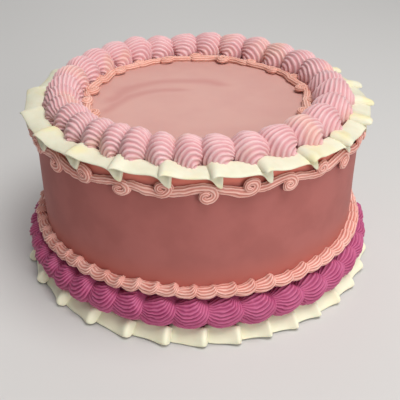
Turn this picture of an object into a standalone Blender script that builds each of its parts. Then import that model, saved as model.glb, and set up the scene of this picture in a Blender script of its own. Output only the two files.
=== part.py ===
"""Round buttercream layer cake with piped borders, at real size.

The cake stands on z = 0 with its axis on Z, and its front faces -Y. Every border is a closed ring that
goes once round the cake: a torus whose cross-sections are moved to the piped shape. Sizes are in
millimetres and angles in degrees until a mesh is made. A border's drift is the slow change of spacing
that comes from piping by hand, as (degrees, phase) for one and two waves round the cake.
"""

import math
import random

import bpy

MM = 0.001

# Gap left between two pieces that touch
GAP = 0.3

# Iced cake
CAKE_RADIUS = 103.0
CAKE_HEIGHT = 104.8
CAKE_SIDES = 64
CAKE_EDGE = 1.6

# Relief of both shell borders
SHELL_RIDGES = 5
FLUTE_DEPTH = 0.085
SHELL_UNEVENNESS = 0.05

# Fluted shells piped round the rim of the top. Heads face clockwise, seen from above. The ring is a
# little oval: wider by twice its oval from front to back than from side to side.
TOP_SHELLS = 31
TOP_SHELL_START = 223.9
TOP_SHELL_DRIFT = ((10.3, -45.6), (3.3, 27.1))
TOP_SHELL_MIDDLE = 86.8
TOP_SHELL_OVAL = 2.2
TOP_SHELL_HALF_WIDTH = 10.9
TOP_SHELL_LEAST_WIDTH = 0.62
TOP_SHELL_HEIGHT = 13.3
TOP_SHELL_AXIS_LIFT = 2.0
TOP_SHELL_TURNS = (-2, 182)
TOP_SHELL_FOOT = 0.7

# Places along one top shell, from head to tail: share of the pitch, size and lean of the crest
TOP_SHELL_STEPS = (
    (0.00, 0.62, 0.00),
    (0.10, 0.90, 0.07),
    (0.32, 1.00, 0.07),
    (0.62, 0.89, 0.02),
    (0.90, 0.62, 0.00),
)

# Fluted shells piped round the foot. Heads face anticlockwise.
BASE_SHELLS = 36
BASE_SHELL_START = 210.9
BASE_SHELL_DRIFT = ((10.5, -46.0), (3.2, 176.6))
BASE_SHELL_AXIS_RADIUS = 105.4
BASE_SHELL_AXIS_HEIGHT = 16.2
BASE_SHELL_REACH = 11.2
BASE_SHELL_TOP = 26.4
BASE_SHELL_TURNS = (-38, 96)

# Places along one base shell, from tail to head: share of the pitch, size and lean of the bulge
BASE_SHELL_STEPS = (
    (0.05, 0.74, 0.00),
    (0.42, 0.92, 0.00),
    (0.78, 1.00, 0.05),
    (0.96, 0.80, 0.05),
)

# Petal ribbon under the top shells, pleated over the edge of the cake. Its upper side rises from the
# inside to the flat on which the shells rest.
TOP_PLEATS = 22
TOP_PLEAT_START = 157.1
TOP_PLEAT_DRIFT = ((6.1, -159.5), (3.6, 41.8))
TOP_RUFFLE_INSIDE = 92.0
TOP_RUFFLE_FLAT_FROM = 96.4
TOP_RUFFLE_FLAT_TO = 99.4
TOP_RUFFLE_OUTSIDE = 107.0
TOP_RUFFLE_OVAL = 1.0
TOP_RUFFLE_THICKNESS = 1.7
TOP_RUFFLE_LIP = 2.2
TOP_RUFFLE_DROP = 1.6
SHELL_TO_RUFFLE = 1.2

# Places along one top pleat: share of the pitch, height of its hump and size of its hanging curl
TOP_PLEAT_STEPS = (
    (0.00, 0.8, 4.2),
    (0.12, 2.4, 3.2),
    (0.32, 1.4, 0.6),
    (0.64, 0.0, 0.0),
    (0.92, -0.8, 0.0),
)
CURL_OUT = 0.5
CURL_DOWN = 0.8

# Petal ribbon round the foot, under the base shells
BASE_PLEATS = 34
BASE_PLEAT_START = 225.0
BASE_PLEAT_DRIFT = ((6.2, 82.8), (7.5, -55.0))
BASE_RUFFLE_OUTSIDE = 116.9
BASE_RUFFLE_SHELF = 3.5
BASE_RUFFLE_INNER_HEIGHT = 8.4
BASE_RUFFLE_LIP = 1.2
BASE_RUFFLE_CROWN = (3.2, 3.6)
BASE_RUFFLE_UNDERCUT = 1.5

# Places along one base pleat: share of the pitch and how far it bulges, outwards and upwards
BASE_PLEAT_STEPS = ((0.00, 0.0), (0.55, 0.5), (0.90, 1.6))
BULGE_UP = 0.9

# Thin rope on the top, inside the shells. It curls inwards and outwards by turns.
TOP_TRIM_CURLS = 22
TOP_TRIM_START = 99.1
TOP_TRIM_RADIUS = 71.0
TOP_TRIM_OVAL = 2.0
TOP_TRIM_HALF_WIDTH = 2.5
TOP_TRIM_HEIGHT = 5.4
TOP_TRIM_SWING = 0.9
TOP_TRIM_PROFILE = ((1.0, 0.25), (0.55, 1.0), (-0.55, 1.0), (-1.0, 0.35), (-0.8, 0.0))

# Thin rope on the side, under the top ribbon. It curls down and up by turns.
SIDE_CURLS = 28
SIDE_CURL_START = 211.0
SIDE_CURL_DRIFT = ((4.1, -153.1),)
SIDE_TRIM_HEIGHT = 95.4
SIDE_TRIM_HALF_WIDTH = 2.5
SIDE_TRIM_DEPTH = 3.6
SIDE_TRIM_SWING = 2.0
SIDE_TRIM_PROFILE = ((1.0, 0.0), (0.7, 0.75), (0.0, 1.0), (0.0, -1.0), (0.7, -0.75))

# Places along one curl of a rope, and its size between two curls and added at the middle of one
CURL_STEPS = 4
ROPE_LEAST = 0.87
ROPE_SWELL = 0.3

# String of small shells on the side, resting on the base shells. Each is narrow where it starts and
# round where it ends: share of the pitch and size.
BEADS = 60
BEAD_START = 234.7
BEAD_DRIFT = ((2.4, 99.0), (2.2, 49.5))
BEAD_HEIGHT = 31.6
BEAD_HALF_HEIGHT = 4.6
BEAD_DEPTH = 7.0
BEAD_STEPS = ((0.04, 0.78), (0.80, 1.0))
BEAD_PROFILE = ((1.0, -0.15), (0.75, 0.7), (0.2, 1.0), (0.0, 0.8), (0.0, -2.0), (0.8, -0.9))

COLOURS = {
    "rose buttercream": (0.60, 0.27, 0.24),
    "pink buttercream": (0.80, 0.40, 0.45),
    "coral buttercream": (0.83, 0.36, 0.27),
    "cream buttercream": (0.83, 0.78, 0.62),
    "orchid buttercream": (0.50, 0.10, 0.24),
}
ROUGHNESS = 0.45
SHARP_ABOVE = 50
SEED = 8


def clear_scene():
    for old in list(bpy.data.objects):
        bpy.data.objects.remove(old, do_unlink=True)


def buttercream(name):
    """Matt, slightly greasy icing of one colour."""
    material = bpy.data.materials.get(name)
    if material is None:
        material = bpy.data.materials.new(name)
        material.use_nodes = True
        shader = material.node_tree.nodes["Principled BSDF"]
        shader.inputs["Base Color"].default_value = (*COLOURS[name], 1.0)
        shader.inputs["Roughness"].default_value = ROUGHNESS
        shader.inputs["Metallic"].default_value = 0.0
    return material


def keep(obj, name, collection, material):
    """Names a finished piece, moves it to the cake's collection and gives it its icing."""
    obj.name = name
    obj.data.name = name
    for old in list(obj.users_collection):
        old.objects.unlink(obj)
    collection.objects.link(obj)
    obj.data.materials.clear()
    obj.data.materials.append(buttercream(material))
    obj.data.shade_smooth()
    obj.data.set_sharp_from_angle(angle=math.radians(SHARP_ABOVE))


def drifted_angles(count, start, drift=()):
    """Start angles of the repeats round the ring, and of the first one again."""
    angles = []
    for index in range(count + 1):
        even = start + 360.0 * index / count
        shift = 0.0
        for waves, (amount, phase) in enumerate(drift, start=1):
            shift += amount * math.sin(math.radians(waves * even + phase))
        angles.append(even + shift)
    return angles


def oval(angle, amount):
    """What an oval ring's radius gains at this angle: most at the front and the back."""
    return -amount * math.cos(math.radians(2 * angle))


def add_ring(name, collection, material, sections):
    """Closed ring through the sections, each a list of (radius, angle, height) points.

    A section's points run from the outside over the top to the inside, and back underneath.
    """
    sides = len(sections[0])
    bpy.ops.mesh.primitive_torus_add(
        major_segments=len(sections),
        minor_segments=sides,
        major_radius=CAKE_RADIUS * MM,
        minor_radius=TOP_SHELL_HEIGHT * MM,
    )
    ring = bpy.context.object
    for vertex in ring.data.vertices:
        radius, angle, height = sections[vertex.index // sides][vertex.index % sides]
        turn = math.radians(angle)
        vertex.co = (radius * math.cos(turn) * MM, radius * math.sin(turn) * MM, height * MM)
    keep(ring, name, collection, material)


def fluted(turn_from, turn_to):
    """Turns of a shell's ridges and grooves, each with its share of the full radius."""
    last = 2 * SHELL_RIDGES
    for index in range(last + 1):
        share = 1.0 + FLUTE_DEPTH * (1 if index % 2 else -1)
        yield math.radians(turn_from + (turn_to - turn_from) * index / last), share


def add_cake(collection):
    bpy.ops.mesh.primitive_cylinder_add(
        vertices=CAKE_SIDES,
        radius=CAKE_RADIUS * MM,
        depth=CAKE_HEIGHT * MM,
        location=(0, 0, CAKE_HEIGHT / 2 * MM),
    )
    cake = bpy.context.object
    rounding = cake.modifiers.new("edge", "BEVEL")
    rounding.width = CAKE_EDGE * MM
    rounding.segments = 1
    rounding.limit_method = "ANGLE"
    keep(cake, "cake_body", collection, "rose buttercream")


def top_shell_section(angle, pitch, size, lean):
    """One section of the rim border. The crest leans over the tail before it."""
    floor = CAKE_HEIGHT + GAP
    ribbon_top = floor + TOP_RUFFLE_THICKNESS + GAP
    wider = oval(angle, TOP_SHELL_OVAL)
    width = TOP_SHELL_LEAST_WIDTH + (1 - TOP_SHELL_LEAST_WIDTH) * size
    points = []
    for turn, share in fluted(*TOP_SHELL_TURNS):
        across = TOP_SHELL_HALF_WIDTH * width * share * math.cos(turn)
        up = TOP_SHELL_HEIGHT * size * share * math.sin(turn)
        radius = min(TOP_SHELL_MIDDLE + across, TOP_RUFFLE_FLAT_TO - GAP)
        rest = ribbon_top if radius > TOP_RUFFLE_INSIDE else floor
        height = max(floor + TOP_SHELL_AXIS_LIFT + up, rest)
        points.append((radius + wider, angle - lean * pitch * max(0.0, math.sin(turn)), height))
    inner_foot = TOP_SHELL_MIDDLE - TOP_SHELL_FOOT * TOP_SHELL_HALF_WIDTH
    points.append((inner_foot + wider, angle, floor))
    points.append((TOP_RUFFLE_INSIDE - SHELL_TO_RUFFLE + wider, angle, floor))
    return points


def base_shell_section(angle, pitch, size, lean):
    """One section of the foot border, from under the bulge up to the side of the cake."""
    floor = BASE_RUFFLE_INNER_HEIGHT + GAP
    wall = CAKE_RADIUS + GAP
    points = []
    for turn, share in fluted(*BASE_SHELL_TURNS):
        reach = BASE_SHELL_REACH * size * share
        radius = max(BASE_SHELL_AXIS_RADIUS + reach * math.cos(turn), wall)
        height = min(BASE_SHELL_AXIS_HEIGHT + reach * math.sin(turn), BASE_SHELL_TOP)
        ahead = lean * pitch * math.cos(turn / 2) ** 2
        points.append((radius, angle + ahead, max(height, floor)))
    points.append((wall, angle, floor))
    return points


def add_shell_border(name, collection, material, angles, steps, section, draw):
    sections = []
    for start, end in zip(angles, angles[1:]):
        pitch = end - start
        bulk = 1.0 + draw.uniform(-SHELL_UNEVENNESS, SHELL_UNEVENNESS)
        for share, size, lean in steps:
            sections.append(section(start + share * pitch, pitch, size * bulk, lean))
    add_ring(name, collection, material, sections)


def add_top_ruffle(collection):
    """Each pleat starts as a hump over the end of the one before, with its curl hanging below."""
    floor = CAKE_HEIGHT + GAP
    top = floor + TOP_RUFFLE_THICKNESS
    angles = drifted_angles(TOP_PLEATS, TOP_PLEAT_START, TOP_PLEAT_DRIFT)
    sections = []
    for start, end in zip(angles, angles[1:]):
        for share, hump, curl in TOP_PLEAT_STEPS:
            angle = start + share * (end - start)
            wider = oval(angle, TOP_SHELL_OVAL)
            outside = TOP_RUFFLE_OUTSIDE + oval(angle, TOP_RUFFLE_OVAL) + CURL_OUT * curl
            crown = (outside + TOP_RUFFLE_FLAT_TO + wider) / 2
            sections.append(
                [
                    (outside, angle, floor + hump / 2 - curl / 4),
                    (crown, angle, top + hump),
                    (TOP_RUFFLE_FLAT_FROM + wider, angle, top),
                    (TOP_RUFFLE_INSIDE + wider, angle, floor),
                    (CAKE_RADIUS + GAP, angle, floor),
                    (outside - TOP_RUFFLE_LIP, angle, CAKE_HEIGHT - TOP_RUFFLE_DROP - CURL_DOWN * curl),
                ]
            )
    add_ring("top_ruffle", collection, "cream buttercream", sections)


def add_base_ruffle(collection):
    """Each pleat swells towards its end and tucks under the start of the next."""
    wall = CAKE_RADIUS + GAP
    crown_in, crown_up = BASE_RUFFLE_CROWN
    angles = drifted_angles(BASE_PLEATS, BASE_PLEAT_START, BASE_PLEAT_DRIFT)
    sections = []
    for start, end in zip(angles, angles[1:]):
        for share, bulge in BASE_PLEAT_STEPS:
            angle = start + share * (end - start)
            outside = BASE_RUFFLE_OUTSIDE + bulge
            sections.append(
                [
                    (outside, angle, BASE_RUFFLE_LIP + bulge / 2),
                    (outside - crown_in, angle, crown_up + BULGE_UP * bulge),
                    (wall + BASE_RUFFLE_SHELF, angle, BASE_RUFFLE_INNER_HEIGHT),
                    (wall, angle, BASE_RUFFLE_INNER_HEIGHT),
                    (wall, angle, 0.0),
                    (outside - BASE_RUFFLE_UNDERCUT, angle, 0.0),
                ]
            )
    add_ring("base_ruffle", collection, "cream buttercream", sections)


def curls(angles):
    """Angle, side (-1 or 1 by turns) and swing (0 to 1) of each place along a curled rope."""
    for index, (start, end) in enumerate(zip(angles, angles[1:])):
        for step in range(CURL_STEPS):
            share = step / CURL_STEPS
            yield start + (end - start) * share, 1 if index % 2 else -1, math.sin(math.pi * share)


def add_top_trim(collection):
    floor = CAKE_HEIGHT + GAP
    sections = []
    for angle, side, swing in curls(drifted_angles(TOP_TRIM_CURLS, TOP_TRIM_START)):
        # Only the inward curls are thick knots
        size = ROPE_LEAST + (ROPE_SWELL * swing if side < 0 else 0.0)
        middle = TOP_TRIM_RADIUS + oval(angle, TOP_TRIM_OVAL) + side * TOP_TRIM_SWING * swing
        sections.append(
            [
                (
                    middle + across * size * TOP_TRIM_HALF_WIDTH,
                    angle,
                    floor + up * size * TOP_TRIM_HEIGHT,
                )
                for across, up in TOP_TRIM_PROFILE
            ]
        )
    add_ring("top_trim", collection, "coral buttercream", sections)


def add_side_scroll(collection):
    wall = CAKE_RADIUS + GAP
    sections = []
    for angle, side, swing in curls(drifted_angles(SIDE_CURLS, SIDE_CURL_START, SIDE_CURL_DRIFT)):
        size = ROPE_LEAST + ROPE_SWELL * swing
        middle = SIDE_TRIM_HEIGHT + side * SIDE_TRIM_SWING * swing
        sections.append(
            [
                (
                    wall + out * size * SIDE_TRIM_DEPTH,
                    angle,
                    middle + up * size * SIDE_TRIM_HALF_WIDTH,
                )
                for out, up in SIDE_TRIM_PROFILE
            ]
        )
    add_ring("side_scroll", collection, "coral buttercream", sections)


def add_bead_string(collection, draw):
    wall = CAKE_RADIUS + GAP
    lowest = BASE_SHELL_TOP + GAP
    angles = drifted_angles(BEADS, BEAD_START, BEAD_DRIFT)
    sections = []
    for start, end in zip(angles, angles[1:]):
        bulk = 1.0 + draw.uniform(-SHELL_UNEVENNESS, SHELL_UNEVENNESS)
        for share, size in BEAD_STEPS:
            angle = start + share * (end - start)
            sections.append(
                [
                    (
                        wall + out * size * bulk * BEAD_DEPTH,
                        angle,
                        max(lowest, BEAD_HEIGHT + up * size * bulk * BEAD_HALF_HEIGHT),
                    )
                    for out, up in BEAD_PROFILE
                ]
            )
    add_ring("base_trim", collection, "coral buttercream", sections)


def build():
    clear_scene()
    cake = bpy.data.collections.new("layer_cake")
    bpy.context.scene.collection.children.link(cake)
    draw = random.Random(SEED)
    add_cake(cake)
    add_shell_border(
        "top_shell_border",
        cake,
        "pink buttercream",
        drifted_angles(TOP_SHELLS, TOP_SHELL_START, TOP_SHELL_DRIFT),
        TOP_SHELL_STEPS,
        top_shell_section,
        draw,
    )
    add_shell_border(
        "base_shell_border",
        cake,
        "orchid buttercream",
        drifted_angles(BASE_SHELLS, BASE_SHELL_START, BASE_SHELL_DRIFT),
        BASE_SHELL_STEPS,
        base_shell_section,
        draw,
    )
    add_top_ruffle(cake)
    add_base_ruffle(cake)
    add_top_trim(cake)
    add_side_scroll(cake)
    add_bead_string(cake, draw)


build()
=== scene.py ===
"""Looks of the layer cake: every border as it was piped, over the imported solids.
Metres, +Z up, front at -Y."""

import math
import random

import bpy
from mathutils import Matrix, Vector


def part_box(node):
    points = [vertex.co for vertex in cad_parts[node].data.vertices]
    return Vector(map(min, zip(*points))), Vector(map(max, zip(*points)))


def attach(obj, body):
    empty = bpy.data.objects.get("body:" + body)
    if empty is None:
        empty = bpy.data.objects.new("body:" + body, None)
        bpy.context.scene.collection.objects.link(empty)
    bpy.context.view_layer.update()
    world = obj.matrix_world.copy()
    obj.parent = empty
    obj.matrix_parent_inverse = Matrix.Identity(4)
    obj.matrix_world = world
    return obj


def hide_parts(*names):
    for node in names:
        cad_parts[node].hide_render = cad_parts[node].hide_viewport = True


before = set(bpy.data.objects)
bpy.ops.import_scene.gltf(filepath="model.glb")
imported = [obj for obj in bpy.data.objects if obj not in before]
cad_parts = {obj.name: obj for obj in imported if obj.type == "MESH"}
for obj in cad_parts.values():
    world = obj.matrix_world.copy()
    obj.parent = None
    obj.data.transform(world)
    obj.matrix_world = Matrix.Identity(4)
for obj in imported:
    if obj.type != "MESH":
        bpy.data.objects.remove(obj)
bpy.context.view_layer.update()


MM = 0.001
chance = random.Random(41)

# The iced body, read from the frame
BODY_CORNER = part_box("cake_body")[1]
CAKE_RADIUS = BODY_CORNER.x
CAKE_TOP = BODY_CORNER.z

# The photograph's camera: focal length in pixels, how far back and up it is, and its turns in degrees
PHOTO_WIDTH = 400
FOCAL_PIXELS = 656.4
CAMERA_BACK = 394.7 * MM
CAMERA_UP = 263.0 * MM
CAMERA_YAW = 0.23
CAMERA_PITCH = 30.67
CAMERA_ROLL = 0.13

# Borders: how many repeats, the angle of the first, and the slow drift of piping by hand, as amount and
# phase of one swing and of two swings round the cake. Angles are in degrees, with the front at 270
RIM_SHELLS = (31, 223.9, ((10.3, -45.6), (3.3, 27.1)))
FOOT_SHELLS = (36, 210.9, ((10.5, -46.0), (3.2, 176.6)))
RIM_PLEATS = (22, 157.1, ((6.1, -159.5), (3.6, 41.8)))
FOOT_PLEATS = (34, 225.0, ((6.2, 82.8), (7.5, -55.0)))
BEADS = (60, 234.7, ((2.4, 99.0), (2.2, 49.5)))
SIDE_CURLS = (28, 211.0, ((4.1, -153.1),))
TOP_CURLS = (22, 99.1, ())
FRONT = 270

# Steps of modelling by hand


def select_only(*objects):
    bpy.ops.object.select_all(action="DESELECT")
    for obj in objects:
        obj.select_set(True)
    bpy.context.view_layer.objects.active = objects[-1]


def in_edit_mode(obj, steps):
    """Runs the steps in edit mode with all of the piece selected."""
    select_only(obj)
    bpy.ops.object.mode_set(mode="EDIT")
    bpy.ops.mesh.select_all(action="SELECT")
    steps()
    bpy.ops.object.mode_set(mode="OBJECT")


def turn_outwards():
    """Points every face outwards, in edit mode."""
    bpy.ops.mesh.select_all(action="SELECT")
    bpy.ops.mesh.normals_make_consistent(inside=False)


def apply_modifiers(obj):
    select_only(obj)
    for modifier in list(obj.modifiers):
        bpy.ops.object.modifier_apply(modifier=modifier.name)


def apply_place(obj):
    select_only(obj)
    bpy.ops.object.transform_apply(location=True, rotation=True, scale=True)


def smoothed(obj):
    soft = obj.modifiers.new("soft", "SUBSURF")
    soft.levels = 1
    soft.render_levels = 1
    apply_modifiers(obj)


def joined(objects, name):
    select_only(*objects)
    bpy.ops.object.join()
    whole = bpy.context.object
    whole.name = name
    whole.data.name = name
    return whole


def copied(master):
    select_only(master)
    bpy.ops.object.duplicate()
    return bpy.context.object


def removed(obj):
    bpy.data.objects.remove(obj, do_unlink=True)


def drifted_angles(count, start, drift):
    """Where each repeat starts, and where the last one ends, in degrees."""
    angles = []
    for index in range(count + 1):
        even = start + 360.0 * index / count
        shift = sum(
            amount * math.sin(math.radians(waves * even + phase))
            for waves, (amount, phase) in enumerate(drift, start=1)
        )
        angles.append(even + shift)
    return angles


def oval(angle, amount):
    """How far out an oval ring lies at this angle: in at the sides, out at the front and back."""
    return -amount * MM * math.cos(math.radians(2 * angle))


def turned_by_hand(ranges):
    """A small turn about X, Y and Z, each drawn from its range in degrees."""
    return [math.radians(chance.uniform(low, high)) for low, high in ranges]


def set_round(piece, radius, height, angle):
    """Takes a piece from the origin to its place round the cake, at this angle in degrees."""
    piece.location = (0, -radius, height)
    apply_place(piece)
    piece.rotation_euler = (0, 0, math.radians(angle - FRONT))
    apply_place(piece)


def unsteady(obj, name, size, depth):
    """The small waver of a hand: every point moves a little, in swells of the given size."""
    clouds = bpy.data.textures.new(name, "CLOUDS")
    clouds.noise_scale = size
    clouds.noise_depth = 1
    waver = obj.modifiers.new("waver", "DISPLACE")
    waver.texture = clouds
    waver.texture_coords = "LOCAL"
    waver.direction = "RGB_TO_XYZ"
    waver.strength = depth
    waver.mid_level = 0.5
    apply_modifiers(obj)


# Piping: a nozzle's cut is extruded, turned and squeezed along the stroke


def nozzle_cut(name, teeth, notch, points_per_tooth=2, inner=1.0):
    """The star that the nozzle gives, facing along X. Its attribute ridge is 1 on a tooth, 0 in a groove.
    inner squeezes the lower half, which is on the inner side of a bent stroke."""
    bpy.ops.mesh.primitive_circle_add(
        vertices=teeth * points_per_tooth,
        radius=1.0,
        fill_type="NGON",
        rotation=(0, math.radians(90), 0),
    )
    cut = bpy.context.object
    cut.name = name
    apply_place(cut)
    ridge = cut.data.attributes.new("ridge", "FLOAT", "POINT")
    for index, vertex in enumerate(cut.data.vertices):
        height = 0.5 + 0.5 * math.cos(2 * math.pi * index / points_per_tooth)
        ridge.data[index].value = height
        vertex.co *= 1.0 - notch * (1.0 - height)
        if vertex.co.z < 0:
            vertex.co.z *= inner
    return cut


def turn_end(degrees, axis, centre):
    """Turns the open end. Without a window the operator turns the other way, so the angle is negated."""
    bpy.ops.transform.rotate(
        value=-math.radians(degrees), orient_axis=axis, orient_type="GLOBAL", center_override=centre
    )


def piped(cut, places):
    """Draws the nozzle's cut through the places, each a centre, a turn about Y and a tilt about X in
    degrees, half a height and half a width."""
    def draw_out():
        last = (Vector((0, 0, 0)), 0.0, 0.0, 1.0, 1.0)
        for step, place in enumerate(places):
            centre, turn, tilt, height, width = place
            if step:
                bpy.ops.mesh.extrude_region_move(TRANSFORM_OT_translate={"value": centre - last[0]})
            else:
                bpy.ops.transform.translate(value=centre)
            turn_end(-last[1], "Y", centre)
            turn_end(-last[2], "X", centre)
            bpy.ops.transform.resize(
                value=(1, width / last[4], height / last[3]), center_override=centre
            )
            turn_end(tilt, "X", centre)
            turn_end(turn, "Y", centre)
            last = place
        turn_outwards()

    in_edit_mode(cut, draw_out)


def crease_grooves(obj, crease):
    """Keeps the bottom of each groove narrow when the piece is smoothed."""
    ridge = obj.data.attributes["ridge"].data
    sharp = obj.data.attributes.new("crease_edge", "FLOAT", "EDGE")
    for edge in obj.data.edges:
        if all(ridge[index].value < 0.01 for index in edge.vertices):
            sharp.data[edge.index].value = crease


# Shells: one stroke bends round an eye. Each row holds a turn about the eye in degrees, then, in
# millimetres, how far the middle of the cut and its outermost ridge are from the eye, and half its width.
# EYE is where the eye lies, along the stroke and up. INNER is how deep the inner half of the cut is beside
# the outer half. OVERLAP is a shell's length over its pitch. TURNS in degrees, SIZES and WIDTHS as shares
# and RISES in millimetres are the ranges in which one shell differs from the next
SHELL_STEPS = 15
SHELL_CREASE = 0.7

RIM_SHELL_BENDS = (
    (236, 1.5, 10.2, 10.5),
    (210, 2.4, 14.0, 12.8),
    (180, 3.0, 16.6, 13.8),
    (150, 3.4, 18.2, 13.9),
    (122, 3.4, 18.4, 13.1),
    (94, 2.8, 14.8, 11.3),
    (64, 2.2, 11.0, 8.8),
    (34, 2.2, 8.8, 6.8),
    (6, 3.6, 8.8, 5.0),
)
RIM_SHELL_EYE = (6.2, 1.2)
RIM_SHELL_TEETH = 26
RIM_SHELL_NOTCH = 0.15
RIM_SHELL_INNER = 0.55
RIM_SHELL_RADIUS = 86.9
RIM_SHELL_OVERLAP = 1.1
RIM_SHELL_OVAL = 2.2
RIM_SHELL_TURNS = ((-4, 4), (-7, 7), (-7, 7))
RIM_SHELL_SIZES = (-0.06, 0.045)
RIM_SHELL_WIDTHS = (-0.04, 0.04)

FOOT_SHELL_BENDS = (
    (232, 14.5, 19.0, 3.5),
    (241, 14.5, 21.3, 6.2),
    (252, 14.3, 23.4, 8.8),
    (264, 14.0, 24.6, 10.5),
    (277, 14.0, 25.0, 11.2),
    (290, 13.9, 25.2, 11.4),
    (302, 13.8, 25.0, 11.4),
    (311, 13.6, 23.8, 11.0),
    (318, 13.4, 22.4, 9.8),
    (323, 13.2, 21.0, 7.6),
    (326, 13.0, 19.8, 3.6),
)
FOOT_SHELL_EYE = (-3.8, 32.0)
FOOT_SHELL_TEETH = 23
FOOT_SHELL_NOTCH = 0.2
FOOT_SHELL_INNER = 0.8
FOOT_SHELL_RADIUS = 105.4
FOOT_SHELL_MIDDLE = 17.5
FOOT_SHELL_TURNS = ((-4, 4), (-4, 4), (6, 10))
FOOT_SHELL_SIZES = (-0.035, 0.035)

BEAD_BENDS = (
    (233, 10.6, 12.4, 2.4),
    (242, 10.3, 13.4, 3.8),
    (255, 10.1, 13.9, 4.7),
    (268, 10.1, 14.1, 5.0),
    (282, 10.0, 14.1, 5.2),
    (294, 9.9, 13.8, 5.2),
    (304, 9.5, 13.1, 5.0),
    (312, 9.1, 12.1, 4.3),
    (318, 8.8, 11.0, 2.8),
)
BEAD_EYE = (-0.6, 9.6)
BEAD_TEETH = 11
BEAD_NOTCH = 0.3
BEAD_INNER = 0.9
BEAD_RADIUS = 105.2
BEAD_HEIGHT = 31.6
BEAD_TURNS = ((-12, 4), (-7, 7), (-4, 4))
BEAD_SIZES = (-0.07, 0.07)
BEAD_RISES = (-0.4, 0.4)


def between(rows, share):
    """The row at this share of the way through the rows, with the values between two rows mixed."""
    place = share * (len(rows) - 1)
    index = min(int(place), len(rows) - 2)
    part = place - index
    return [a + (b - a) * part for a, b in zip(rows[index], rows[index + 1])]


def shell_places(bends, eye):
    """Places along one stroke, from its bends round the eye."""
    places = []
    for step in range(SHELL_STEPS):
        turn, middle, reach, width = between(bends, step / (SHELL_STEPS - 1))
        along = eye[0] + middle * math.cos(math.radians(turn))
        up = eye[1] + middle * math.sin(math.radians(turn))
        centre = Vector((along, 0, up)) * MM
        places.append((centre, 90 - turn, 0.0, (reach - middle) * MM, width * MM))
    return places


def one_shell(name, teeth, notch, inner, bends, eye):
    """The shell that all the shells of a border are copies of."""
    shell = nozzle_cut(name, teeth, notch, inner=inner)
    piped(shell, shell_places(bends, eye))
    crease_grooves(shell, SHELL_CREASE)
    smoothed(shell)
    return shell


def rim_shells():
    """Shells round the rim of the top. Heads face clockwise, seen from above."""
    master = one_shell(
        "shell", RIM_SHELL_TEETH, RIM_SHELL_NOTCH, RIM_SHELL_INNER, RIM_SHELL_BENDS, RIM_SHELL_EYE
    )
    angles = drifted_angles(*RIM_SHELLS)
    even_pitch = 2 * math.pi * RIM_SHELL_RADIUS / RIM_SHELLS[0]
    shells = []
    for start, end in zip(angles, angles[1:]):
        shell = copied(master)
        angle = (start + end) / 2
        pitch = math.radians(end - start) * RIM_SHELL_RADIUS
        size = 1.0 + chance.uniform(*RIM_SHELL_SIZES)
        width = size * (1.0 + chance.uniform(*RIM_SHELL_WIDTHS))
        shell.scale = (pitch / even_pitch * RIM_SHELL_OVERLAP, width, size)
        shell.rotation_euler = turned_by_hand(RIM_SHELL_TURNS)
        apply_place(shell)
        set_round(shell, RIM_SHELL_RADIUS * MM + oval(angle, RIM_SHELL_OVAL), CAKE_TOP, angle)
        shells.append(shell)
    removed(master)
    border = joined(shells, "rim_shells")
    unsteady(border, "rim waver", 11 * MM, 1.6 * MM)
    unsteady(border, "torn ridges", 2.2 * MM, 0.55 * MM)
    return border


def foot_shells():
    """Shells round the foot. Heads face anticlockwise, seen from above."""
    master = one_shell(
        "shell", FOOT_SHELL_TEETH, FOOT_SHELL_NOTCH, FOOT_SHELL_INNER, FOOT_SHELL_BENDS, FOOT_SHELL_EYE
    )
    angles = drifted_angles(*FOOT_SHELLS)
    even_pitch = 2 * math.pi * FOOT_SHELL_RADIUS / FOOT_SHELLS[0]
    shells = []
    for start, end in zip(angles, angles[1:]):
        shell = copied(master)
        pitch = math.radians(end - start) * FOOT_SHELL_RADIUS
        size = 1.0 + chance.uniform(*FOOT_SHELL_SIZES)
        # It grows and turns about its middle
        shell.location = (0, 0, -FOOT_SHELL_MIDDLE * MM)
        apply_place(shell)
        shell.scale = (pitch / even_pitch, size, size)
        shell.rotation_euler = turned_by_hand(FOOT_SHELL_TURNS)
        apply_place(shell)
        set_round(shell, FOOT_SHELL_RADIUS * MM, FOOT_SHELL_MIDDLE * MM, (start + end) / 2)
        shells.append(shell)
    removed(master)
    border = joined(shells, "foot_shells")
    unsteady(border, "foot waver", 10 * MM, 1.4 * MM)
    unsteady(border, "torn ridges", 2.2 * MM, 0.75 * MM)
    return border


def bead_string():
    """Small shells above the foot shells, each rolled up to its right."""
    master = one_shell("bead", BEAD_TEETH, BEAD_NOTCH, BEAD_INNER, BEAD_BENDS, BEAD_EYE)
    angles = drifted_angles(*BEADS)
    even_pitch = 2 * math.pi * BEAD_RADIUS / BEADS[0]
    beads = []
    for start, end in zip(angles, angles[1:]):
        bead = copied(master)
        pitch = math.radians(end - start) * BEAD_RADIUS
        size = 1.0 + chance.uniform(*BEAD_SIZES)
        bead.rotation_euler = turned_by_hand(BEAD_TURNS)
        apply_place(bead)
        bead.scale = (pitch / even_pitch, size, size)
        height = BEAD_HEIGHT + chance.uniform(*BEAD_RISES)
        set_round(bead, BEAD_RADIUS * MM, height * MM, (start + end) / 2)
        beads.append(bead)
    removed(master)
    string = joined(beads, "bead_string")
    unsteady(string, "bead waver", 7 * MM, 1.1 * MM)
    unsteady(string, "torn strands", 2 * MM, 0.35 * MM)
    return string


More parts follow.
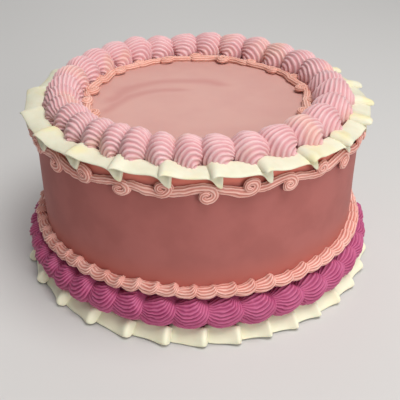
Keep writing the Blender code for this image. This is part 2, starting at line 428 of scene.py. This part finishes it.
# Ribbons: a petal nozzle's flat cut. Each row holds a share of the pitch, radius and height of the cut's
# middle, its tilt outwards in degrees, half its width and half its thickness, in millimetres. Heights
# count from the top of the cake for the rim, and from its foot for the foot
RIM_RIBBON = (
    (-0.12, 104.2, 1.2, 4, 6.0, 0.6),
    (-0.10, 104.1, 2.3, 5, 6.9, 1.2),
    (-0.03, 103.7, 3.6, 7, 7.1, 1.6),
    (0.06, 103.1, 3.7, 10, 6.9, 1.5),
    (0.18, 102.5, 2.7, 13, 6.6, 1.3),
    (0.34, 102.2, 1.7, 13, 6.3, 1.25),
    (0.55, 102.2, 1.2, 12, 6.1, 1.25),
    (0.78, 102.1, 1.3, 9, 6.1, 1.25),
    (0.93, 102.2, 1.1, 12, 6.1, 1.3),
    (1.00, 103.0, 0.3, 28, 5.9, 1.4),
    (1.05, 104.2, -0.9, 48, 5.4, 1.45),
    (1.10, 105.3, -1.8, 64, 4.9, 1.45),
    (1.145, 105.8, -2.1, 72, 4.5, 1.2),
    (1.16, 105.8, -2.1, 72, 3.6, 0.5),
)
FOOT_RIBBON = (
    (-0.10, 109.2, 4.1, 40, 4.8, 0.4),
    (0.00, 109.6, 4.3, 41, 5.3, 0.8),
    (0.16, 110.0, 4.4, 42, 5.3, 0.9),
    (0.42, 110.5, 4.6, 42, 5.4, 1.0),
    (0.62, 111.3, 4.8, 42, 5.5, 1.2),
    (0.77, 112.7, 5.3, 43, 5.6, 1.9),
    (0.87, 113.8, 5.8, 43, 5.6, 2.6),
    (0.95, 113.8, 5.6, 43, 5.4, 2.6),
    (1.005, 112.2, 4.6, 42, 5.0, 1.7),
    (1.03, 111.0, 4.0, 41, 4.4, 0.6),
)
PETAL_POINTS = 14
# How far one pleat lies from its rows, in millimetres, and how far it tips, in degrees
RIM_PLEAT_SCATTER = 0.35
FOOT_PLEAT_SCATTER = 0.6
PLEAT_SLACK = 3


def pleat_places(profile, span, base, lift, out, slack):
    """Places along one pleat, which spans this angle in radians. lift and out move its middle up and
    outwards, and slack tilts all of it."""
    places = []
    for share, radius, height, tilt, width, thickness in profile:
        along = (share - 0.5) * span * radius * MM
        swell = math.sin(math.pi * min(max(share, 0.0), 1.0))
        centre = Vector((along, -(radius + out * swell) * MM, base + (height + lift * swell) * MM))
        places.append((centre, 0.0, tilt + slack, thickness * MM, width * MM))
    return places


def bent_round(strip):
    """Bends a straight strip round the cake, so that each point keeps its radius."""
    for vertex in strip.data.vertices:
        radius = -vertex.co.y
        turn = vertex.co.x / radius
        vertex.co.x = radius * math.sin(turn)
        vertex.co.y = -radius * math.cos(turn)


def ribbon(name, pleats, profile, base, scatter):
    """Pleats laid one after the other; each starts over the end of the one before."""
    angles = drifted_angles(*pleats)
    strips = []
    for start, end in zip(angles, angles[1:]):
        strip = nozzle_cut("strip", PETAL_POINTS, 0.0, points_per_tooth=1)
        lift = chance.uniform(-scatter, scatter)
        out = chance.uniform(-scatter, scatter)
        slack = chance.uniform(-PLEAT_SLACK, PLEAT_SLACK)
        piped(strip, pleat_places(profile, math.radians(end - start), base, lift, out, slack))
        bent_round(strip)
        smoothed(strip)
        strip.rotation_euler = (0, 0, math.radians((start + end) / 2 - FRONT))
        apply_place(strip)
        strips.append(strip)
    return joined(strips, name)


def rim_ribbon():
    """The ribbon outside the rim shells, whose pleats hang over the edge."""
    piece = ribbon("rim_ribbon", RIM_PLEATS, RIM_RIBBON, CAKE_TOP, RIM_PLEAT_SCATTER)
    unsteady(piece, "ribbon waver", 14 * MM, 0.9 * MM)
    return piece


def foot_ribbon():
    """The ribbon round the foot, tucked in under the foot shells."""
    piece = ribbon("foot_ribbon", FOOT_PLEATS, FOOT_RIBBON, 0.0, FOOT_PLEAT_SCATTER)
    unsteady(piece, "ribbon waver", 14 * MM, 0.8 * MM)
    return piece


# Ropes: strokes of a fine star nozzle, each ending in a curl, drawn flat in X and Z with the icing behind
# them at Y 0. Each row holds the height and radius of the curl and its sense, then the height at which the
# stroke starts, in millimetres. Two kinds of stroke take turns
SIDE_STROKES = ((-2.2, 3.9, -1, -1.2), (1.0, 3.6, 1, 1.2))
SIDE_ROPE_RADIUS = 105.0
SIDE_ROPE_HEIGHT = 95.9
TOP_STROKES = ((-2.0, 3.3, -1, -0.8), (0.5, 2.5, 1, 0.8))
TOP_ROPE_STROKE_RADIUS = 70.5
TOP_ROPE_RADIUS = 72.5
TOP_ROPE_OVAL = 2.0
ROPE_TEETH = 8
ROPE_NOTCH = 0.36
ROPE_CREASE = 0.6
ROPE_HALF_WIDTH = 3.3
# The run starts this share of the pitch before the stroke's middle, beside the curl before
ROPE_TAIL = 0.43
ROPE_RUN_POINTS = 10
CURL_POINTS = 19
CURL_TURNS = 1.15
CURL_STRETCH = 1.28
# How much nearer to its middle, and how much thinner, a curl is at its end
CURL_TIGHTENING = 0.82
CURL_THINNING = 0.4
# How strokes differ from each other: height as a share, slope along the stroke, and rise in millimetres
ROPE_SIZES = (-0.16, 0.16)
ROPE_LEANS = (-0.05, 0.05)
ROPE_RISES = (-0.4, 0.4)


def stroke_line(length, height, radius, sense, start):
    """Points of one stroke: along it, up, and how far the curl has wound, from 0 to 1."""
    line = []
    enter = height - sense * radius
    for step in range(ROPE_RUN_POINTS):
        share = step / ROPE_RUN_POINTS
        ease = share * share * (3 - 2 * share)
        along = length * (share * (0.5 + ROPE_TAIL) - ROPE_TAIL)
        line.append((along, start + (enter - start) * ease, 0.0))
    for step in range(CURL_POINTS):
        wound = step / (CURL_POINTS - 1)
        turn = 2 * math.pi * CURL_TURNS * wound
        near = radius * (1.0 - CURL_TIGHTENING * wound)
        along = length / 2 + CURL_STRETCH * near * math.sin(turn)
        line.append((along, height - sense * near * math.cos(turn), wound))
    return line


def unwound(places):
    """Keeps each turn within half a turn of the one before, so that the rope doesn't wring."""
    kept = [places[0]]
    for centre, turn, *rest in places[1:]:
        while turn - kept[-1][1] > 180:
            turn -= 360
        while turn - kept[-1][1] < -180:
            turn += 360
        kept.append((centre, turn, *rest))
    return kept


def stroke(length, shape, half_depth, lift):
    """One stroke of rope, sunk a little into the icing. lift is how far its curl ends above the run."""
    line = stroke_line(length, *shape)
    places = []
    for index, (along, up, wound) in enumerate(line):
        before = line[max(index - 1, 0)]
        after = line[min(index + 1, len(line) - 1)]
        heading = math.degrees(math.atan2(after[1] - before[1], after[0] - before[0]))
        middle = Vector((along, -(half_depth * 0.5 + lift * math.sqrt(wound)), up)) * MM
        # Thin at its very start, full after two points, and thinner again as it winds
        full = min(1.0, 0.45 + index * 0.3) * (1.0 - CURL_THINNING * wound)
        places.append((middle, -heading, 0.0, ROPE_HALF_WIDTH * full * MM, half_depth * full * MM))
    drawn = nozzle_cut("stroke", ROPE_TEETH, ROPE_NOTCH)
    piped(drawn, unwound(places))
    crease_grooves(drawn, ROPE_CREASE)
    smoothed(drawn)
    return drawn


def rope_round(name, strokes, angles, length, place):
    """Lays copies of the strokes round the cake. place gives radius and height from (angle, out, up)."""
    copies = []
    for index, (start, end) in enumerate(zip(angles, angles[1:])):
        drawn = copied(strokes[index % len(strokes)])
        size = 1.0 + chance.uniform(*ROPE_SIZES)
        lean = chance.uniform(*ROPE_LEANS)
        rise = chance.uniform(*ROPE_RISES) * MM
        for vertex in drawn.data.vertices:
            share = vertex.co.x / (length * MM)
            angle = (start + end) / 2 + (end - start) * (share - 0.5)
            up = vertex.co.z * size + rise + lean * vertex.co.x
            radius, height = place(angle, -vertex.co.y, up)
            theta = math.radians(angle)
            vertex.co = (radius * math.cos(theta), radius * math.sin(theta), height)
        copies.append(drawn)
    for master in strokes:
        removed(master)
    rope = joined(copies, name)
    in_edit_mode(rope, turn_outwards)
    unsteady(rope, name, 8 * MM, 1.2 * MM)
    unsteady(rope, "torn strands", 2 * MM, 0.35 * MM)
    return rope


def side_scroll():
    """The rope with scrolls on the side, under the ribbon."""
    length = 2 * math.pi * SIDE_ROPE_RADIUS / SIDE_CURLS[0]
    strokes = [stroke(length, shape, half_depth=2.3, lift=1.7) for shape in SIDE_STROKES]

    def on_the_side(angle, out, up):
        return CAKE_RADIUS + out, SIDE_ROPE_HEIGHT * MM + up

    return rope_round("side_rope", strokes, drifted_angles(*SIDE_CURLS), length, on_the_side)


def top_scroll():
    """The rope with knots on the top, inside the shells."""
    length = 2 * math.pi * TOP_ROPE_STROKE_RADIUS / TOP_CURLS[0]
    strokes = [stroke(length, shape, half_depth=2.7, lift=1.4) for shape in TOP_STROKES]

    def on_the_top(angle, out, up):
        return TOP_ROPE_RADIUS * MM + oval(angle, TOP_ROPE_OVAL) + up, CAKE_TOP + out

    return rope_round("top_rope", strokes, drifted_angles(*TOP_CURLS), length, on_the_top)


# The iced body
BODY_SIDES = 144
FOOT_BAND = 0.6 * MM
SIDE_BANDS = 20
EDGE_ROUNDING = 2.2 * MM
EDGE_STEPS = 4
TOP_RINGS = 21
TOP_RING_WIDTH = 4.6 * MM
SWELL_SIZE = 55 * MM
SWELL_DEPTH = 1.1 * MM


def edge_rings():
    """Rise and narrowing of each step of the rounded edge."""
    for step in range(EDGE_STEPS):
        old = math.radians(90 / EDGE_STEPS * step)
        new = math.radians(90 / EDGE_STEPS * (step + 1))
        old_radius = CAKE_RADIUS - EDGE_ROUNDING * (1 - math.cos(old))
        new_radius = CAKE_RADIUS - EDGE_ROUNDING * (1 - math.cos(new))
        yield EDGE_ROUNDING * (math.sin(new) - math.sin(old)), new_radius / old_radius


def iced_body():
    """The smoothed body, drawn up from its foot; its edge rounded by the spatula."""
    bpy.ops.mesh.primitive_circle_add(vertices=BODY_SIDES, radius=CAKE_RADIUS, fill_type="NGON")
    body = bpy.context.object
    body.name = "iced_body"
    band = (CAKE_TOP - EDGE_ROUNDING - FOOT_BAND) / SIDE_BANDS

    def draw_up():
        for rise in [FOOT_BAND] + [band] * SIDE_BANDS:
            bpy.ops.mesh.extrude_region_move(TRANSFORM_OT_translate={"value": (0, 0, rise)})
        for rise, narrow in edge_rings():
            bpy.ops.mesh.extrude_region_move(TRANSFORM_OT_translate={"value": (0, 0, rise)})
            bpy.ops.transform.resize(value=(narrow, narrow, 1), center_override=(0, 0, CAKE_TOP))
        for _ in range(TOP_RINGS):
            bpy.ops.mesh.inset(thickness=TOP_RING_WIDTH)
        turn_outwards()

    in_edit_mode(body, draw_up)
    swells = bpy.data.textures.new("spatula swells", "CLOUDS")
    swells.noise_scale = SWELL_SIZE
    swells.noise_depth = 1
    uneven = body.modifiers.new("uneven icing", "DISPLACE")
    uneven.texture = swells
    uneven.texture_coords = "LOCAL"
    uneven.strength = SWELL_DEPTH
    uneven.mid_level = 0.6
    apply_modifiers(body)
    for vertex in body.data.vertices:
        vertex.co.z = min(max(vertex.co.z, 0.0), CAKE_TOP)
    return body


# Materials. Each pattern's scale comes from a real size in millimetres
CRUMB_SPACING = 32 * MM
CRUMB_RADIUS = 0.3 * MM
CRUMB_STRENGTH = 0.45
# How far blotches shift the colour of piped icing between that of the grooves and that of the ridges
BLOTCH_SHIFT = 0.12


def linear(hex_colour):
    """sRGB hex to linear red, green and blue."""
    values = [int(hex_colour[index : index + 2], 16) / 255 for index in (1, 3, 5)]
    return [v / 12.92 if v <= 0.04045 else ((v + 0.055) / 1.055) ** 2.4 for v in values]


def node(tree, kind, inputs, output=0, **settings):
    """Adds a node and gives one of its outputs. An input takes an output to link, a value or an sRGB hex."""
    added = tree.nodes.new(kind)
    for name, value in settings.items():
        setattr(added, name, value)
    for name, value in inputs.items():
        if isinstance(value, bpy.types.NodeSocket):
            tree.links.new(value, added.inputs[name])
        elif isinstance(value, str):
            added.inputs[name].default_value = (*linear(value), 1)
        else:
            added.inputs[name].default_value = value
    return added.outputs[output]


def coats(tree, ground, *layers):
    """Lays coats of colour over the ground, each a mask and the colour that it lets through."""
    colour = ground
    for mask, over in layers:
        colour = node(tree, "ShaderNodeMix", {0: mask, 6: colour, 7: over}, 2, data_type="RGBA")
    return colour


def patches(tree, place, size, start, end, low=0.0, high=1.0, detail=2.0):
    """Soft patches about this far across, from low to high as the noise goes from start to end."""
    cloud = node(
        tree, "ShaderNodeTexNoise", {"Vector": place, "Scale": 1 / size, "Detail": detail}, "Fac"
    )
    bounds = {"Value": cloud, "From Min": start, "From Max": end, "To Min": low, "To Max": high}
    return node(tree, "ShaderNodeMapRange", bounds, interpolation_type="SMOOTHSTEP")


def by_height(tree, place, start, end, high=1.0):
    """Runs softly from 0 at one height to high at the other."""
    height = node(tree, "ShaderNodeSeparateXYZ", {"Vector": place}, "Z")
    bounds = {"Value": height, "From Min": start, "From Max": end, "To Max": high}
    return node(tree, "ShaderNodeMapRange", bounds, interpolation_type="SMOOTHSTEP")


def crumbs(tree, place):
    """A few crumbs and grains of colour that stay in the icing, 0.6 mm across and a good 30 mm apart."""
    cells = node(
        tree, "ShaderNodeTexVoronoi", {"Vector": place, "Scale": 1 / CRUMB_SPACING}, "Distance"
    )
    edge = CRUMB_RADIUS / CRUMB_SPACING
    bounds = {
        "Value": cells,
        "From Min": 1.3 * edge,
        "From Max": 0.7 * edge,
        "To Max": CRUMB_STRENGTH,
    }
    return node(tree, "ShaderNodeMapRange", bounds, interpolation_type="SMOOTHSTEP")


def buttercream(name, paint, roughness=0.5, grain=0.1, shine=0.3):
    """Whipped butter and sugar: soft edges, a faint greasy sheen, and a little light that passes a short
    way in and warms the thin ridges. paint(tree, place) gives the colour."""
    material = bpy.data.materials.new(name)
    material.use_nodes = True
    tree = material.node_tree
    place = node(tree, "ShaderNodeTexCoord", {}, "Object")
    colour = coats(tree, paint(tree, place), (crumbs(tree, place), "#7C4A3A"))
    # Air holes and sugar grain are finer in the real icing, and are drawn at 0.8 mm so that they show
    pores = node(tree, "ShaderNodeTexNoise", {"Vector": place, "Scale": 1 / (0.8 * MM)}, "Fac")
    relief = node(tree, "ShaderNodeBump", {"Height": pores, "Strength": grain, "Distance": 0.3 * MM})
    shader = tree.nodes["Principled BSDF"].inputs
    tree.links.new(colour, shader["Base Color"])
    tree.links.new(relief, shader["Normal"])
    shader["Roughness"].default_value = roughness
    shader["IOR"].default_value = 1.46
    shader["Specular IOR Level"].default_value = shine
    shader["Subsurface Weight"].default_value = 0.12
    shader["Subsurface Radius"].default_value = (1.0, 0.4, 0.3)
    shader["Subsurface Scale"].default_value = 1.2 * MM
    return material


def piped_paint(ridge_colour, groove_shade):
    """Painted shade in the grooves, as a deeper colour where little light reaches them, and blotches about
    12 mm across where it isn't quite mixed in.
    """
    def paint(tree, place):
        ridge = node(tree, "ShaderNodeAttribute", {}, "Fac", attribute_name="ridge")
        blotches = patches(tree, place, 12 * MM, 0.3, 0.7, -BLOTCH_SHIFT, BLOTCH_SHIFT)
        raised = node(tree, "ShaderNodeMath", {0: ridge, 1: blotches}, operation="ADD")
        # The groove colour is painted shade; the ridge colour is the icing's own
        return coats(tree, groove_shade, (raised, ridge_colour))

    return paint


def pink_paint(tree, place):
    """Pink, with peach patches where the coral colour ran into the bag."""
    # The second colour of each pair is painted shade for the grooves
    pink = piped_paint("#E5C0C0", "#D09295")(tree, place)
    peach = piped_paint("#EAC4AE", "#D49C88")(tree, place)
    return coats(tree, pink, (patches(tree, place, 26 * MM, 0.52, 0.7, high=0.5), peach))


def coral_paint(tree, place):
    """Coral, with painted shade in the grooves, lighter and yellower in the grooves of the trim on top. On
    the side the ridges are painted brighter and the grooves darker, as painted light and shade for its
    weaker light.
    """
    side = piped_paint("#FDD0C2", "#CB786A")(tree, place)
    top = piped_paint("#F3C4B4", "#CF8B78")(tree, place)
    return coats(tree, side, (by_height(tree, place, CAKE_TOP - 1 * MM, CAKE_TOP), top))


def cream_paint(tree, place):
    """Ivory with faint streaks, buttery yellow patches a few centimetres apart, and painted light at the
    foot, where it is paler.
    """
    return coats(
        tree,
        "#E2DEC6",
        (patches(tree, place, 6 * MM, 0.35, 0.7, high=0.5), "#DAD4B8"),
        (patches(tree, place, 22 * MM, 0.5, 0.66, high=0.7), "#E6DBA6"),
        # Painted light: the foot ribbon is painted paler, as if lit more
        (by_height(tree, place, 30 * MM, 20 * MM, high=0.75), "#F6F3D6"),
    )


def smoothed_paint(tree, place):
    """Dusty rose, paler on top than on the side, where the darker colour is painted shade. It is painted
    warmer and lighter between the coral rope and the ribbon, as painted bounce light from the coral, a
    little warmer above the bead string, and painted dark behind the orchid shells, as painted shade in the
    gaps between them."""
    # The side's base colour is darker than the top's: painted shade, as the side gets less light
    side = coats(
        tree,
        "#A9645E",
        (patches(tree, place, 20 * MM, 0.35, 0.65, detail=3.0), "#B16A64"),
        (by_height(tree, place, 52 * MM, 34 * MM), "#B8695F"),
        # Painted shade: dark pink in the gaps between the bead string and the orchid shells
        (by_height(tree, place, 31 * MM, 27 * MM), "#98415F"),
        # Painted bounce light: warmer, lighter coral pink in the shade between the coral rope and the ribbon
        (by_height(tree, place, 96 * MM, 101 * MM), "#DC8070"),
    )
    top = coats(
        tree,
        "#CC9A91",
        (patches(tree, place, 30 * MM, 0.3, 0.7, detail=3.0), "#D0A096"),
        (spatula_marks(tree, place), "#C0837C"),
    )
    return coats(tree, side, (by_height(tree, place, CAKE_TOP - 3 * MM, CAKE_TOP - 0.5 * MM), top))


# Two arcs that the spatula left on top: middle, radius, width, direction of the arc's middle and half of
# its angle, in millimetres and degrees
SPATULA_ARCS = (
    ((-14.1, -27.3), 42.5, 6.0, 128, 56),
    ((-9.0, -14.0), 47.0, 8.0, 112, 66),
)
SPATULA_STRENGTH = 0.6


def spatula_arc(tree, place, wander, middle, radius, width, direction, half):
    """One arc, soft across its width and at both ends, as a mask. wander moves it in and out."""
    centre = (middle[0] * MM, middle[1] * MM, CAKE_TOP)
    offset = node(tree, "ShaderNodeVectorMath", {0: place, 1: centre}, operation="SUBTRACT")
    away = node(tree, "ShaderNodeVectorMath", {0: offset}, "Value", operation="LENGTH")
    away = node(tree, "ShaderNodeMath", {0: away, 1: wander}, operation="ADD")
    across = node(tree, "ShaderNodeMath", {0: away, 1: radius * MM}, operation="SUBTRACT")
    across = node(tree, "ShaderNodeMath", {0: across}, operation="ABSOLUTE")
    bounds = {"Value": across, "From Min": width * MM, "From Max": 0.0}
    line = node(tree, "ShaderNodeMapRange", bounds, interpolation_type="SMOOTHSTEP")
    heading = (math.cos(math.radians(direction)), math.sin(math.radians(direction)), 0)
    along = node(
        tree, "ShaderNodeVectorMath", {0: offset, 1: heading}, "Value", operation="DOT_PRODUCT"
    )
    edge = radius * MM * math.cos(math.radians(half))
    bounds = {"Value": along, "From Min": edge, "From Max": edge + 9 * MM}
    within = node(tree, "ShaderNodeMapRange", bounds, interpolation_type="SMOOTHSTEP")
    return node(tree, "ShaderNodeMath", {0: line, 1: within}, operation="MULTIPLY")


def spatula_marks(tree, place):
    """Where the spatula dragged the icing on top, as a mask."""
    wander = patches(tree, place, 30 * MM, 0.3, 0.7, -1.8 * MM, 1.8 * MM)
    marks = 0.0
    for arc in SPATULA_ARCS:
        drag = spatula_arc(tree, place, wander, *arc)
        marks = node(tree, "ShaderNodeMath", {0: marks, 1: drag}, operation="MAXIMUM")
    return node(tree, "ShaderNodeMath", {0: marks, 1: SPATULA_STRENGTH}, operation="MULTIPLY")


def finished(piece, material, solid):
    """Gives the piece its icing, and puts it in place of its solid."""
    piece.data.materials.clear()
    piece.data.materials.append(material)
    select_only(piece)
    bpy.ops.object.shade_smooth()
    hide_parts(solid)
    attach(piece, "root")


# Floor, lights and camera


def soft_light(name, place, size, power):
    """A round white light that faces the middle of the cake."""
    bpy.ops.object.light_add(type="AREA", location=place)
    lamp = bpy.context.object
    lamp.name = name
    lamp.data.shape = "DISK"
    lamp.data.size = size
    lamp.data.energy = power
    aim = Vector((0, 0, CAKE_TOP / 2)) - Vector(place)
    lamp.rotation_euler = aim.to_track_quat("-Z", "Y").to_euler()


def studio():
    """A broad light above, a room light at the front right and a weak one behind, over a pale floor."""
    bpy.ops.mesh.primitive_plane_add(size=16.0, location=(0, 0, 0))
    floor = bpy.context.object
    floor.name = "floor"
    # Matt pale paper: it has no shine, so only the soft shadow of the cake shows on it
    paper = bpy.data.materials.new("matt paper")
    paper.use_nodes = True
    shader = paper.node_tree.nodes["Principled BSDF"].inputs
    shader["Base Color"].default_value = (*linear("#D2D0CD"), 1)
    shader["Roughness"].default_value = 0.8
    floor.data.materials.append(paper)
    soft_light("window", (0.32, -0.3, 1.32), 1.0, 15.2)
    soft_light("room", (0.9, -1.3, 0.6), 0.8, 9.6)
    soft_light("behind", (-0.1, 1.4, 0.6), 1.0, 3.2)
    world = bpy.data.worlds.new("studio")
    bpy.context.scene.world = world
    world.use_nodes = True
    background = world.node_tree.nodes["Background"].inputs
    background["Color"].default_value = (*linear("#F4F4F6"), 1)
    background["Strength"].default_value = 0.24
    bpy.context.scene.view_settings.view_transform = "Standard"


def camera():
    """The view that the photograph was taken from."""
    lens = bpy.data.cameras.new("camera")
    lens.sensor_width = 36
    lens.lens = FOCAL_PIXELS / PHOTO_WIDTH * lens.sensor_width
    lens.clip_start = 0.01
    yaw, pitch, roll = (math.radians(a) for a in (CAMERA_YAW, CAMERA_PITCH, CAMERA_ROLL))
    ahead = Vector((math.sin(yaw) * math.cos(pitch), math.cos(yaw) * math.cos(pitch), -math.sin(pitch)))
    right = Vector((math.cos(yaw), -math.sin(yaw), 0))
    up = right.cross(ahead)
    level_right = math.cos(roll) * right + math.sin(roll) * up
    level_up = -math.sin(roll) * right + math.cos(roll) * up
    place = Matrix((level_right, level_up, -ahead)).transposed().to_4x4()
    place.translation = Vector((0, -CAMERA_BACK, CAMERA_UP))
    view = bpy.data.objects.new("camera", lens)
    view.matrix_world = place
    bpy.context.scene.collection.objects.link(view)
    bpy.context.scene.camera = view


bpy.ops.object.select_all(action="DESELECT")
camera()
studio()

# Smoothed with a spatula: nearly matt and even, so light fades slowly round it
rose = buttercream("rose buttercream, smoothed", smoothed_paint, roughness=0.6, grain=0.05, shine=0.2)
# Star-piped in pale pink: satin on the ridges, and painted shade, a warmer pink, in the grooves between them
pink = buttercream("pink buttercream, piped", pink_paint)
# Star-piped in a strong dye: satin on the ridges, and painted shade in the grooves, so deep in colour that
# they read as lines
orchid = buttercream("orchid buttercream, piped", piped_paint("#CA6B91", "#9B3560"))
# Piped through a fine star: thread-like bright strands with narrow lines of painted shade between them
coral = buttercream("coral buttercream, piped", coral_paint)
# Piped flat through a petal nozzle: smooth and a little glossier, with broad soft highlights
cream = buttercream("cream buttercream, piped", cream_paint, roughness=0.45, grain=0.06)

finished(iced_body(), rose, "cake_body")
finished(rim_shells(), pink, "top_shell_border")
finished(foot_shells(), orchid, "base_shell_border")
finished(rim_ribbon(), cream, "top_ruffle")
finished(foot_ribbon(), cream, "base_ruffle")
finished(top_scroll(), coral, "top_trim")
finished(side_scroll(), coral, "side_scroll")
finished(bead_string(), coral, "base_trim")
